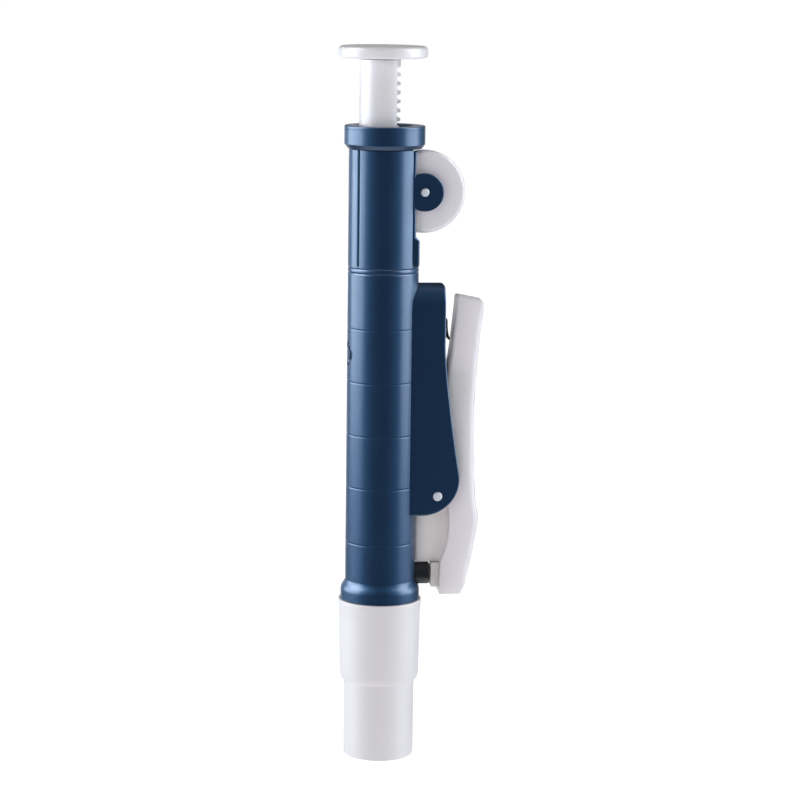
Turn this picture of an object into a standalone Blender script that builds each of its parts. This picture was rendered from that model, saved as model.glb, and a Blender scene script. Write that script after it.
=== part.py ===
"""A manual pipette pump: a hand-held filler that draws liquid into a glass pipette.

A thumbwheel drives a toothed plunger up and down a barrel, and a sprung side lever opens a vent
nipple at the barrel's foot. A two-step chuck at the bottom grips the pipette.

Every shape is modelled about the barrel's own axis: +Z up, the thumbwheel and lever on +X. The
empty "pump_axis" then moves the whole pump along X, so that the origin lies on the surface that
the chuck stands on, under the middle of the pump's bounding box.
"""

import math

import bmesh
import bpy
from mathutils import Matrix, Vector

MM = 0.001
GAP = 0.3 * MM  # between two pieces that touch
FINE_GAP = 0.1 * MM  # round small seals and pins
OVERSHOOT = 1.0 * MM  # how far a cutter runs past the face that it opens

AXIS_X = -5.85 * MM  # the barrel's axis, seen from the middle of the whole pump

# Barrel
BARREL_R = 7.88 * MM
BORE_R = 6.2 * MM
BORE_FLOOR_Z = 45.0 * MM
SHOULDER_Z = 137.2 * MM
NECK_R = 7.0 * MM  # the neck that the collar sits on
NECK_TOP_Z = 141.0 * MM
RING_GROOVES_Z = tuple(z * MM for z in (111.1, 110.1, 97.7, 85.8, 73.9, 62.1, 49.4))
RING_DEPTH = 0.25 * MM
RING_HALF_WIDTH = 0.25 * MM
FOOT_R = 8.88 * MM
FOOT_BOTTOM_Z = 36.3 * MM
FOOT_TOP_Z = 40.6 * MM
SPIGOT_R = 6.3 * MM
SPIGOT_BOTTOM_Z = 25.0 * MM
SPIGOT_GROOVE_Z = 30.5 * MM
AIR_HOLE_R = 2.0 * MM
SEAM_ANGLE = math.radians(139.5)
SEAM_BOTTOM_Z = 111.7 * MM
DIMPLE_Z = 92.0 * MM
DIMPLE_TURN = math.radians(9)  # from -X towards -Y
DIMPLE_R = 2.8 * MM
DIMPLE_DEPTH = 0.45 * MM
DIMPLE_BUTTON_R = 1.3 * MM

# The flat-sided blocks on the barrel's +X side share one half width.
SIDE_HALF = 5.1 * MM
WHEEL_BLOCK_X = 6.75 * MM
STEP_BLOCK_X = 7.55 * MM
BLOCK_BOTTOM_Z = 111.6 * MM
BLOCK_STEP_Z = 117.6 * MM
BLOCK_TOP_Z = 136.9 * MM
BLOCK_ROOT_X = 3.0 * MM
BLOCK_FLAT_X = 5.9 * MM  # the barrel's round front is cut back to here under the block

# Rack and thumbwheel
PITCH = 1.95 * MM
TEETH = 18
PITCH_R = TEETH * PITCH / (2 * math.pi)
ADDENDUM = 0.4 * MM
DEDENDUM = 0.5 * MM
PRESSURE_ANGLE = math.radians(20)
BACKLASH = 0.12 * MM
AXLE_X = 8.56 * MM
AXLE_Z = 128.0 * MM
AXLE_R = 1.0 * MM
WHEEL_R = 9.12 * MM
WHEEL_Y = (-3.2 * MM, -0.4 * MM)  # the disc runs beside the rack, not over it
WHEEL_EDGE_R = 0.9 * MM
PINION_END_Y = 3.75 * MM
WINDOW_HALF = 4.0 * MM
WINDOW_CLEARANCE = 0.3 * MM
LUG_R = 4.2 * MM
PIN_FIT = 0.08 * MM  # between a pin and what turns on it

# Plunger
ROD_X = -0.19 * MM
ROD_R = 5.55 * MM
ROD_BOTTOM_Z = 68.8 * MM
RACK_LINE_X = AXLE_X - PITCH_R
RACK_TOOTH_Z = 128.0 * MM  # the centre of the rack tooth nearest the axle
RACK_TEETH_BELOW = 23
RACK_TEETH_ABOVE = 14
RACK_BOTTOM_Z = RACK_TOOTH_Z - (RACK_TEETH_BELOW + 0.75) * PITCH
SLOT_Y = (WHEEL_Y[0] - GAP, WHEEL_Y[1] + GAP)
SLOT_FLOOR_X = -1.15 * MM
SLOT_Z = (78.4 * MM, 152.0 * MM)
SLOT_WALL_X = 2.15 * MM  # the front edge of the rod on the disc's side
PAD_X = -0.53 * MM
PAD_R = 9.87 * MM
PAD_Z = (157.0 * MM, 159.6 * MM)
PAD_EDGE_R = 1.0 * MM
STUB_R = 1.7 * MM
STUB_LENGTH = 2.6 * MM
PISTON_R = 5.9 * MM
PISTON_Z = (60.0 * MM, 68.5 * MM)
PISTON_GROOVES_Z = (62.3 * MM, 66.1 * MM)
PISTON_STEM_TOP_Z = 74.0 * MM
RING_GROOVE_R = 5.05 * MM
RING_GROOVE_HALF = 0.6 * MM
O_RING_R = 5.6 * MM
O_RING_WIRE_R = 0.5 * MM

# Collar
COLLAR_R = 8.92 * MM
COLLAR_Z = (137.6 * MM, 142.3 * MM)
COLLAR_HOLE_R = 6.05 * MM
COLLAR_CHAMFER = (0.7 * MM, 0.6 * MM)

# Lever and its bracket
PIVOT_X = 12.29 * MM
PIVOT_Z = 60.2 * MM
PIN_R = 1.12 * MM
BRACKET_TOP_Z = 107.6 * MM
BRACKET_FRONT_X = 13.62 * MM
BRACKET_CORNER_R = 0.8 * MM
BRACKET_BELLY = 3.5 * MM  # how much further the front edge stands out at the lobe
BELLY_TOP_Z = 94.0 * MM
LOBE_X = 8.86 * MM
LOBE_Z = 64.1 * MM
LOBE_R = 8.3 * MM
ARCH_Z = 102.6 * MM  # where the bracket's sides start to close into an arch
CHEEK = 1.4 * MM
CHANNEL_FLOOR_X = 8.15 * MM
LEVER_HALF = 3.3 * MM
HUB_R = 3.1 * MM
WEB_HALF = 1.2 * MM
POCKET_HALF = 2.2 * MM
SPRING_Z = 96.0 * MM
SPRING_X = (8.55 * MM, 14.2 * MM)
SPRING_COIL_R = 2.8 * MM
SPRING_WIRE_R = 0.32 * MM
SPRING_TURNS = 5
SPRING_BOSS_R = 1.9 * MM

# Vent
VENT_Z = 41.75 * MM
NIPPLE_R = 2.5 * MM
NIPPLE_X = (7.1 * MM, 11.0 * MM)
NIPPLE_STEM_R = 1.4 * MM
NIPPLE_STEM_X = 4.0 * MM
NIPPLE_BORE_R = 0.8 * MM
PAD_FACE_X = 11.3 * MM
PAD_BACK_X = 12.65 * MM
VENT_PAD_HALF = (2.0 * MM, 2.9 * MM)  # along Y and along Z

# Chuck
CHUCK_TOP_R = 9.38 * MM
CHUCK_TOP_Z = 36.0 * MM
CHUCK_LIP_Z = 34.0 * MM
CHUCK_UPPER_R = (9.17 * MM, 8.95 * MM)
CHUCK_STEP_Z = (19.5 * MM, 17.4 * MM)
CHUCK_LOWER_R = 7.95 * MM
CHUCK_BORE_R = 6.2 * MM
CHUCK_LEDGE_Z = (22.2 * MM, 24.6 * MM)
SLEEVE_R = 5.9 * MM
SLEEVE_Z = (0.5 * MM, 21.9 * MM)
SLEEVE_BORE_R = (4.6 * MM, 3.6 * MM)  # at the mouth and at the inner end

MAIN_STEPS = 48
SMALL_STEPS = 28
PIN_SIDES = 26


def clear_scene():
    """Start from an empty scene."""
    for obj in list(bpy.data.objects):
        bpy.data.objects.remove(obj, do_unlink=True)


def make_collection(name):
    """A collection linked to the scene."""
    collection = bpy.data.collections.new(name)
    bpy.context.scene.collection.children.link(collection)
    return collection


def make_material(name, colour, roughness, metallic=0.0):
    """A plain Principled material."""
    material = bpy.data.materials.new(name)
    material.use_nodes = True
    shader = material.node_tree.nodes["Principled BSDF"]
    shader.inputs["Base Color"].default_value = (*colour, 1.0)
    shader.inputs["Roughness"].default_value = roughness
    shader.inputs["Metallic"].default_value = metallic
    return material


def make_empty(name, location, parent=None):
    """An empty that stands on an axis of the pump."""
    empty = bpy.data.objects.new(name, None)
    empty.location = location
    empty.empty_display_size = 5 * MM
    empty.parent = parent
    PARTS.objects.link(empty)
    return empty


def make_object(name, mesh, location=(0, 0, 0), rotation=(0, 0, 0)):
    """An object about the barrel's axis. It starts as a cutter, and finish_part() makes it a part."""
    obj = bpy.data.objects.new(name, mesh)
    obj.location = location
    obj.rotation_euler = rotation
    obj.parent = PUMP
    obj.hide_render = True
    obj.display_type = "WIRE"
    CUTTERS.objects.link(obj)
    return obj


def finish_part(obj, material, pivot=None):
    """Show an object as a part of the pump, on the axis of the body that it moves with."""
    CUTTERS.objects.unlink(obj)
    PARTS.objects.link(obj)
    obj.hide_render = False
    obj.display_type = "TEXTURED"
    obj.data.materials.clear()
    obj.data.materials.append(material)
    if pivot is not None:
        obj.parent = pivot
        obj.location = Vector(obj.location) - pivot.location
    return obj


def arc(centre, radius, start, end, points):
    """Points on an arc, in degrees anticlockwise from the first axis."""
    angles = (math.radians(start + (end - start) * i / (points - 1)) for i in range(points))
    return [(centre[0] + radius * math.cos(a), centre[1] + radius * math.sin(a)) for a in angles]


def smooth_line(points, steps):
    """A Catmull-Rom curve through the points."""
    padded = [points[0], *points, points[-1]]
    line = []
    for i in range(len(points) - 1):
        p0, p1, p2, p3 = (Vector(p) for p in padded[i : i + 4])
        for k in range(steps):
            t = k / steps
            line.append(
                0.5
                * (
                    2 * p1
                    + (p2 - p0) * t
                    + (2 * p0 - 5 * p1 + 4 * p2 - p3) * t**2
                    + (3 * p1 - p0 - 3 * p2 + p3) * t**3
                )
            )
    line.append(Vector(points[-1]))
    return [(p.x, p.y) for p in line]


def turned(name, profile, steps=MAIN_STEPS, closed=False, **place):
    """Turn a profile of (radius, height) points about Z, from its outer top downwards."""
    mesh = bpy.data.meshes.new(name)
    edges = [(i, i + 1) for i in range(len(profile) - 1)]
    if closed:
        edges.append((len(profile) - 1, 0))
    mesh.from_pydata([(r, 0, z) for r, z in profile], edges, [])
    obj = make_object(name, mesh, **place)
    screw = obj.modifiers.new("Turn", "SCREW")
    screw.steps = steps
    screw.render_steps = steps
    screw.use_merge_vertices = True
    screw.merge_threshold = 0.00001
    return obj


def plate(name, outline, half, **place):
    """Extrude a closed outline of (x, z) points by the half thickness each way along Y."""
    curve = bpy.data.curves.new(name + "_outline", "CURVE")
    curve.dimensions = "2D"
    curve.fill_mode = "BOTH"
    curve.extrude = half
    spline = curve.splines.new("POLY")
    spline.points.add(len(outline) - 1)
    for point, (x, z) in zip(spline.points, outline):
        point.co = (x, z, 0, 1)
    spline.use_cyclic_u = True
    return solid_from_curve(name, curve, rotation=(math.radians(90), 0, 0), **place)


def solid_from_curve(name, curve, location=(0, 0, 0), rotation=(0, 0, 0)):
    """Turn a curve into a mesh object with its caps welded on."""
    source = bpy.data.objects.new(name + "_curve", curve)
    CUTTERS.objects.link(source)
    graph = bpy.context.evaluated_depsgraph_get()
    mesh = bpy.data.meshes.new_from_object(source.evaluated_get(graph))
    bpy.data.objects.remove(source)
    shape = bmesh.new()
    shape.from_mesh(mesh)
    bmesh.ops.remove_doubles(shape, verts=shape.verts, dist=0.000005)
    bmesh.ops.recalc_face_normals(shape, faces=shape.faces)
    shape.to_mesh(mesh)
    shape.free()
    return make_object(name, mesh, location, rotation)


def box(name, low, high, **place):
    """A box between two corners."""
    low, high = Vector(low), Vector(high)
    shape = bmesh.new()
    bmesh.ops.create_cube(
        shape,
        size=1.0,
        matrix=Matrix.Translation((low + high) / 2) @ Matrix.Diagonal((*(high - low), 1.0)),
    )
    mesh = bpy.data.meshes.new(name)
    shape.to_mesh(mesh)
    shape.free()
    return make_object(name, mesh, **place)


def cylinder(name, radius, start, end, sides=PIN_SIDES):
    """A cylinder between two points on a line parallel to an axis."""
    start, end = Vector(start), Vector(end)
    turn = Vector((0, 0, 1)).rotation_difference(end - start).to_matrix().to_4x4()
    shape = bmesh.new()
    bmesh.ops.create_cone(
        shape,
        cap_ends=True,
        segments=sides,
        radius1=radius,
        radius2=radius,
        depth=(end - start).length,
        matrix=Matrix.Translation((start + end) / 2) @ turn,
    )
    mesh = bpy.data.meshes.new(name)
    shape.to_mesh(mesh)
    shape.free()
    return make_object(name, mesh)


def combine(obj, tool, operation):
    """Join, cut or intersect an object with another."""
    modifier = obj.modifiers.new(tool.name, "BOOLEAN")
    modifier.object = tool
    modifier.operation = operation
    return obj


def cut(obj, *tools):
    """Cut tools out of an object."""
    for tool in tools:
        combine(obj, tool, "DIFFERENCE")


def join(obj, *tools):
    """Join tools onto an object."""
    for tool in tools:
        combine(obj, tool, "UNION")


# ---------------------------------------------------------------------------- barrel


def barrel_profile():
    """The barrel's outside, from the top of the neck down to the end of the spigot."""
    profile = [(0, NECK_TOP_Z), (NECK_R, NECK_TOP_Z), (NECK_R, SHOULDER_Z), (BARREL_R, SHOULDER_Z)]
    for z in RING_GROOVES_Z:
        profile.append((BARREL_R, z + RING_HALF_WIDTH))
        profile.append((BARREL_R - RING_DEPTH, z))
        profile.append((BARREL_R, z - RING_HALF_WIDTH))
    flare = [(0, 0), (0.25, -0.6), (0.7, -1.3), (0.95, -1.9), (1.0, -2.5)]
    profile += [(BARREL_R + (FOOT_R - BARREL_R) * a, FOOT_TOP_Z + b * MM) for a, b in flare]
    profile += [
        (FOOT_R, FOOT_BOTTOM_Z + 0.3 * MM),
        (FOOT_R - 0.3 * MM, FOOT_BOTTOM_Z),
        (SPIGOT_R, FOOT_BOTTOM_Z),
        (SPIGOT_R, SPIGOT_GROOVE_Z + RING_GROOVE_HALF),
        (RING_GROOVE_R + GAP, SPIGOT_GROOVE_Z + RING_GROOVE_HALF),
        (RING_GROOVE_R + GAP, SPIGOT_GROOVE_Z - RING_GROOVE_HALF),
        (SPIGOT_R, SPIGOT_GROOVE_Z - RING_GROOVE_HALF),
        (SPIGOT_R, SPIGOT_BOTTOM_Z + 0.5 * MM),
        (SPIGOT_R - 0.5 * MM, SPIGOT_BOTTOM_Z),
        (0, SPIGOT_BOTTOM_Z),
    ]
    return profile


def wheel_block_outline():
    """The flat-fronted block round the wheel's window, with the round lug for its axle."""
    bevel = 0.5 * MM
    return [
        (BLOCK_ROOT_X, BLOCK_TOP_Z),
        (WHEEL_BLOCK_X, BLOCK_TOP_Z),
        *arc((AXLE_X, AXLE_Z), LUG_R, 118, -118, 19),
        (WHEEL_BLOCK_X, BLOCK_STEP_Z + bevel),
        (STEP_BLOCK_X, BLOCK_STEP_Z),
        (STEP_BLOCK_X, BLOCK_BOTTOM_Z + bevel),
        (STEP_BLOCK_X - bevel, BLOCK_BOTTOM_Z),
        (BLOCK_ROOT_X, BLOCK_BOTTOM_Z),
    ]


def bracket_outline():
    """The lever bracket's side view: a front edge that bellies out to a round lobe below."""
    front = []
    for i in range(11):
        t = i / 10
        z = BELLY_TOP_Z + (LOBE_Z + 0.9 * MM - BELLY_TOP_Z) * t
        front.append((BRACKET_FRONT_X + BRACKET_BELLY * t**1.35, z))
    lobe = arc((LOBE_X, LOBE_Z), LOBE_R, 0, -90, 12)
    centre = (BRACKET_FRONT_X - BRACKET_CORNER_R, BRACKET_TOP_Z - BRACKET_CORNER_R)
    corner = arc(centre, BRACKET_CORNER_R, 90, 0, 4)
    top = (BLOCK_ROOT_X, BRACKET_TOP_Z)
    return [top, *corner, *front, *lobe, (BLOCK_ROOT_X, LOBE_Z - LOBE_R)]


def arch(name, half, top_z, back_x, front_x):
    """A block along X whose section closes into an arch at the top."""
    crown = [
        (half * math.cos(a), ARCH_Z + (top_z - ARCH_Z) * math.sin(a))
        for a in (math.pi * i / 18 for i in range(19))
    ]
    low = LOBE_Z - LOBE_R - OVERSHOOT
    outline = [(-half, low), (half, low), *crown]
    middle = ((back_x + front_x) / 2, 0, 0)
    block = plate(name, outline, (front_x - back_x) / 2, location=middle)
    block.rotation_euler = (math.radians(90), 0, math.radians(90))
    return block


def cross_hole(name, pin_r, x, z):
    """A cutter for the hole along Y that holds a pin."""
    reach = SIDE_HALF + OVERSHOOT
    return cylinder(name, pin_r + FINE_GAP / 2, (x, -reach, z), (x, reach, z))


def make_bracket():
    """The two-cheeked bracket that carries the release lever, arched over at the top."""
    bracket = plate("bracket", bracket_outline(), SIDE_HALF + OVERSHOOT)
    outer = arch("bracket_arch", SIDE_HALF, BRACKET_TOP_Z, 0, 20 * MM)
    combine(bracket, outer, "INTERSECT")
    channel = plate(
        "channel",
        [
            (CHANNEL_FLOOR_X, LOBE_Z - LOBE_R - OVERSHOOT),
            (20 * MM, LOBE_Z - LOBE_R - OVERSHOOT),
            (20 * MM, BRACKET_TOP_Z),
            (CHANNEL_FLOOR_X, BRACKET_TOP_Z),
        ],
        SIDE_HALF,
    )
    inner = arch(
        "channel_arch", SIDE_HALF - CHEEK, BRACKET_TOP_Z - CHEEK, CHANNEL_FLOOR_X, 25 * MM
    )
    combine(channel, inner, "INTERSECT")
    cut(bracket, channel, cross_hole("pin_hole", PIN_R, PIVOT_X, PIVOT_Z))
    return bracket


def barrel_cutters():
    """Everything that is hollow in the barrel."""
    window_half = WHEEL_R + WINDOW_CLEARANCE
    bore_top = NECK_TOP_Z + OVERSHOOT
    inside = BORE_FLOOR_Z - OVERSHOOT
    tools = [
        turned(
            "bore",
            [(0, bore_top), (BORE_R, bore_top), (BORE_R, BORE_FLOOR_Z), (0, BORE_FLOOR_Z)],
            rotation=(0, 0, math.pi / MAIN_STEPS),
        ),
        cylinder("air_hole", AIR_HOLE_R, (0, 0, SPIGOT_BOTTOM_Z - OVERSHOOT), (0, 0, inside + 3 * MM)),
        box(
            "wheel_window",
            (0, -WINDOW_HALF, AXLE_Z - window_half),
            (20 * MM, WINDOW_HALF, AXLE_Z + window_half),
        ),
        cylinder("vent_hole", NIPPLE_STEM_R + GAP, (0, 0, VENT_Z), (NIPPLE_X[0], 0, VENT_Z)),
        cylinder(
            "vent_seat",
            NIPPLE_R + GAP,
            (NIPPLE_X[0] - GAP, 0, VENT_Z),
            (NIPPLE_X[1], 0, VENT_Z),
            SMALL_STEPS,
        ),
    ]
    for side in (-1, 1):
        tools.append(
            box(
                f"seam_{'left' if side < 0 else 'right'}",
                (BARREL_R - 0.35 * MM, -0.25 * MM, SEAM_BOTTOM_Z),
                (BARREL_R + OVERSHOOT, 0.25 * MM, SHOULDER_Z + OVERSHOOT),
                rotation=(0, 0, side * SEAM_ANGLE),
            )
        )
    dimple_top = BARREL_R + OVERSHOOT
    dimple_floor = BARREL_R - DIMPLE_DEPTH
    dimple = [
        (DIMPLE_R, dimple_top),
        (DIMPLE_R - 0.3 * MM, dimple_floor),
        (DIMPLE_BUTTON_R, dimple_floor),
        (DIMPLE_BUTTON_R, dimple_top),
    ]
    tools.append(
        turned(
            "dimple",
            dimple,
            SMALL_STEPS,
            closed=True,
            location=(0, 0, DIMPLE_Z),
            rotation=(0, math.radians(-90), DIMPLE_TURN),
        )
    )
    return tools


def make_barrel(material):
    """The moulded barrel with its wheel lugs, lever bracket, flared foot and chuck spigot."""
    barrel = turned("barrel", barrel_profile())
    wheel_block = plate("wheel_block", wheel_block_outline(), SIDE_HALF)
    cut(wheel_block, cross_hole("axle_hole", AXLE_R, AXLE_X, AXLE_Z))
    front_flat = box(
        "front_flat",
        (BLOCK_FLAT_X, -BARREL_R, BLOCK_BOTTOM_Z + OVERSHOOT),
        (BARREL_R + OVERSHOOT, BARREL_R, SHOULDER_Z + OVERSHOOT),
    )
    boss = cylinder(
        "spring_boss",
        SPRING_BOSS_R,
        (BLOCK_ROOT_X, 0, SPRING_Z),
        (CHANNEL_FLOOR_X + 1.4 * MM, 0, SPRING_Z),
    )
    cut(barrel, front_flat)
    join(barrel, wheel_block, make_bracket(), boss)
    cut(barrel, *barrel_cutters())
    return finish_part(barrel, material)


def make_collar(material):
    """The ring on the barrel's neck, with the round hole that guides the plunger."""
    bottom, top = COLLAR_Z
    web_z = NECK_TOP_Z + GAP
    profile = [
        (COLLAR_R - 0.3 * MM, top),
        (COLLAR_R, top - 0.3 * MM),
        (COLLAR_R, bottom + COLLAR_CHAMFER[1]),
        (COLLAR_R - COLLAR_CHAMFER[0], bottom),
        (NECK_R + GAP, bottom),
        (NECK_R + GAP, web_z),
        (COLLAR_HOLE_R, web_z),
        (COLLAR_HOLE_R, top - 0.2 * MM),
        (COLLAR_HOLE_R + 0.2 * MM, top),
    ]
    return finish_part(turned("top_collar", profile, closed=True), material)


def make_vent_nipple(material):
    """The rubber tube end that stands out of the barrel's foot; the lever's pad closes it."""
    low, high = NIPPLE_X
    profile = [
        (NIPPLE_R - 0.2 * MM, high),
        (NIPPLE_R, high - 0.2 * MM),
        (NIPPLE_R, low),
        (NIPPLE_STEM_R, low),
        (NIPPLE_STEM_R, NIPPLE_STEM_X),
        (NIPPLE_BORE_R, NIPPLE_STEM_X),
        (NIPPLE_BORE_R, high),
    ]
    nipple = turned(
        "vent_nipple",
        profile,
        SMALL_STEPS,
        closed=True,
        location=(0, 0, VENT_Z),
        rotation=(0, math.radians(90), 0),
    )
    return finish_part(nipple, material)


# ---------------------------------------------------------------------------- plunger


def rack_outline():
    """The space beside the rack: toothed on its left side and open to the right."""
    half_space = PITCH / 4 + BACKLASH / 2
    lean = math.tan(PRESSURE_ANGLE)
    root_x = RACK_LINE_X - DEDENDUM
    tip_x = RACK_LINE_X + ADDENDUM
    outline = []
    for i in range(-RACK_TEETH_BELOW, RACK_TEETH_ABOVE + 1):
        z = RACK_TOOTH_Z + (i - 0.5) * PITCH
        at_root = half_space - DEDENDUM * lean
        at_tip = half_space + ADDENDUM * lean
        outline += [(tip_x, z - at_tip), (root_x, z - at_root), (root_x, z + at_root), (tip_x, z + at_tip)]
    right = ROD_R + 2 * OVERSHOOT
    top = PAD_Z[1]
    return [(right, RACK_BOTTOM_Z), (tip_x, RACK_BOTTOM_Z), *outline, (tip_x, top), (right, top)]


def make_rod(material, pivot):
    """The plunger rod: round, with a rack facing +X and a slot beside it for the wheel's disc."""
    top = PAD_Z[0] - GAP
    profile = [(0, top), (ROD_R, top), (ROD_R, ROD_BOTTOM_Z), (0, ROD_BOTTOM_Z)]
    rod = turned("plunger_rod", profile, location=(ROD_X, 0, 0))
    slot = box(
        "wheel_slot",
        (SLOT_FLOOR_X, SLOT_Y[0], SLOT_Z[0]),
        (ROD_R + OVERSHOOT, SLOT_Y[1], SLOT_Z[1]),
    )
    wall_cut = box(
        "slot_wall_cut",
        (SLOT_WALL_X, -ROD_R - OVERSHOOT, RACK_BOTTOM_Z),
        (ROD_R + 2 * OVERSHOOT, SLOT_Y[1], PAD_Z[1]),
    )
    rack_half = (ROD_R + OVERSHOOT - SLOT_Y[1] + GAP) / 2
    rack_space = plate(
        "rack_space",
        rack_outline(),
        rack_half,
        location=(0, ROD_R + OVERSHOOT - rack_half, 0),
    )
    stub_hole = cylinder(
        "stub_hole",
        STUB_R + GAP,
        (PAD_X, 0, top - STUB_LENGTH - GAP),
        (PAD_X, 0, top + OVERSHOOT),
    )
    stem_hole = cylinder(
        "stem_hole",
        STUB_R + GAP,
        (0, 0, ROD_BOTTOM_Z - OVERSHOOT),
        (0, 0, PISTON_STEM_TOP_Z + GAP),
    )
    cut(rod, rack_space, wall_cut, slot, stub_hole, stem_hole)
    return finish_part(rod, material, pivot)


def make_pad(material, pivot):
    """The thumb pad on top of the rod, with the stub that plugs into it."""
    bottom, top = PAD_Z
    edge = PAD_R - PAD_EDGE_R
    profile = [
        (0, top),
        *arc((edge, top - PAD_EDGE_R), PAD_EDGE_R, 90, 0, 5),
        (PAD_R, bottom + 0.5 * MM),
        (PAD_R - 0.5 * MM, bottom),
        (STUB_R, bottom),
        (STUB_R, bottom - STUB_LENGTH),
        (0, bottom - STUB_LENGTH),
    ]
    pad = turned("thumb_pad", profile, location=(PAD_X, 0, 0))
    return finish_part(pad, material, pivot)


def make_piston(material, pivot):
    """The piston head under the rod, with two grooves for its seals."""
    bottom, top = PISTON_Z
    profile = [(0, PISTON_STEM_TOP_Z), (STUB_R, PISTON_STEM_TOP_Z), (STUB_R, top), (PISTON_R, top)]
    for z in reversed(PISTON_GROOVES_Z):
        profile += [
            (PISTON_R, z + RING_GROOVE_HALF),
            (RING_GROOVE_R, z + RING_GROOVE_HALF),
            (RING_GROOVE_R, z - RING_GROOVE_HALF),
            (PISTON_R, z - RING_GROOVE_HALF),
        ]
    profile += [(PISTON_R, bottom + 0.5 * MM), (PISTON_R - 0.5 * MM, bottom), (0, bottom)]
    return finish_part(turned("piston_head", profile, SMALL_STEPS), material, pivot)


def make_o_ring(name, z, radius, material, pivot=None):
    """A rubber ring about the barrel's axis."""
    section = [
        (radius + O_RING_WIRE_R * math.cos(a), O_RING_WIRE_R * math.sin(a))
        for a in (-2 * math.pi * i / 8 for i in range(8))
    ]
    ring = turned(name, section, SMALL_STEPS, closed=True, location=(0, 0, z))
    return finish_part(ring, material, pivot)


# ---------------------------------------------------------------------------- wheel


def pinion_outline(phase):
    """An involute pinion's outline about its own centre. A space between teeth points to -X."""
    base_r = PITCH_R * math.cos(PRESSURE_ANGLE)
    tip_r = PITCH_R + ADDENDUM
    root_r = PITCH_R - DEDENDUM
    involute = math.tan(PRESSURE_ANGLE) - PRESSURE_ANGLE
    half_tooth = (math.pi / 2 - BACKLASH / 2 / PITCH_R * TEETH) / TEETH

    def flank(radius):
        pressure = math.acos(min(1.0, base_r / radius))
        return half_tooth + involute - (math.tan(pressure) - pressure)

    radii = [root_r, (root_r + PITCH_R) / 2, PITCH_R, (PITCH_R + tip_r) / 2, tip_r]
    outline = []
    for i in range(TEETH):
        middle = math.pi - phase + (i + 0.5) * 2 * math.pi / TEETH
        sides = [(r, middle - flank(r)) for r in radii]
        sides += [(r, middle + flank(r)) for r in reversed(radii)]
        outline += [(r * math.cos(a), r * math.sin(a)) for r, a in sides]
    return outline


def make_wheel(material, pivot):
    """The thumbwheel: a disc that runs in the rod's slot, with its pinion on the far side."""
    near, far = WHEEL_Y
    rim = WHEEL_R - WHEEL_EDGE_R
    profile = [
        (0, -near),
        *arc((rim, -near - WHEEL_EDGE_R), WHEEL_EDGE_R, 90, 0, 4),
        *arc((rim, -far + WHEEL_EDGE_R), WHEEL_EDGE_R, 0, -90, 4),
        (0, -far),
    ]
    wheel = turned("thumbwheel", profile, location=(AXLE_X, 0, AXLE_Z))
    wheel.rotation_euler = (math.radians(90), 0, 0)
    phase = (RACK_TOOTH_Z - AXLE_Z) / PITCH_R
    pinion_near = (near + far) / 2
    pinion_half = (PINION_END_Y - pinion_near) / 2
    pinion = plate(
        "pinion",
        pinion_outline(phase),
        pinion_half,
        location=(AXLE_X, pinion_near + pinion_half, AXLE_Z),
    )
    hole = cylinder(
        "wheel_hole",
        AXLE_R + PIN_FIT,
        (AXLE_X, -PINION_END_Y - OVERSHOOT, AXLE_Z),
        (AXLE_X, PINION_END_Y + OVERSHOOT, AXLE_Z),
    )
    join(wheel, pinion)
    cut(wheel, hole)
    return finish_part(wheel, material, pivot)


def make_pin(name, radius, x, z, material):
    """A pin along Y whose ends are flush with the barrel's lugs or cheeks."""
    pin = cylinder(name, radius, (x, -SIDE_HALF, z), (x, SIDE_HALF, z))
    return finish_part(pin, material)


# ---------------------------------------------------------------------------- lever


def lever_outline():
    """The lever's side view, from its thumb end down the outside and back up the inside."""
    outside = (
        (22.1, 102.4),
        (21.5, 96.5),
        (20.65, 87.0),
        (20.3, 77.5),
        (20.45, 68.0),
        (21.05, 58.8),
        (21.7, 54.6),
        (21.05, 50.0),
        (19.75, 44.5),
        (18.25, 38.6),
    )
    foot = ((17.6, 37.4), (13.4, 37.3), (12.95, 38.6))
    inside = ((12.95, 44.3), (13.95, 47.4), (14.85, 50.9), (15.15, 55.5))
    back = ((14.0, 61.0), (13.7, 70.0), (14.15, 86.0), (14.85, 93.5), (15.5, 101.5))
    thumb_end = ((15.95, 105.3), (21.3, 104.2), (21.9, 103.6))
    line = [*smooth_line(outside, 4), *foot, *smooth_line(inside, 3), *back, *thumb_end]
    return [(x * MM, z * MM) for x, z in line]


def make_lever(material, pivot):
    """The release lever: a solid thumb strip, a hub on the pin and a thin web down to the vent."""
    lever = plate("release_lever", lever_outline(), LEVER_HALF)
    hub = cylinder(
        "lever_hub",
        HUB_R,
        (PIVOT_X, -LEVER_HALF, PIVOT_Z),
        (PIVOT_X, LEVER_HALF, PIVOT_Z),
        SMALL_STEPS,
    )
    web_points = ((8.25, 45.5), (13.5, 45.5), (15.6, 48.0), (15.6, 61.0), (10.6, 61.0), (8.25, 56.5))
    web = plate("lever_web", [(x * MM, z * MM) for x, z in web_points], WEB_HALF)
    pocket_points = ((11.0, 66.5), (18.0, 66.5), (18.2, 88.0), (11.0, 88.0))
    pocket = plate("lever_pocket", [(x * MM, z * MM) for x, z in pocket_points], POCKET_HALF)
    hole = cylinder(
        "lever_hole",
        PIN_R + PIN_FIT,
        (PIVOT_X, -LEVER_HALF - OVERSHOOT, PIVOT_Z),
        (PIVOT_X, LEVER_HALF + OVERSHOOT, PIVOT_Z),
    )
    join(lever, hub, web)
    cut(lever, pocket, hole)
    return finish_part(lever, material, pivot)


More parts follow.
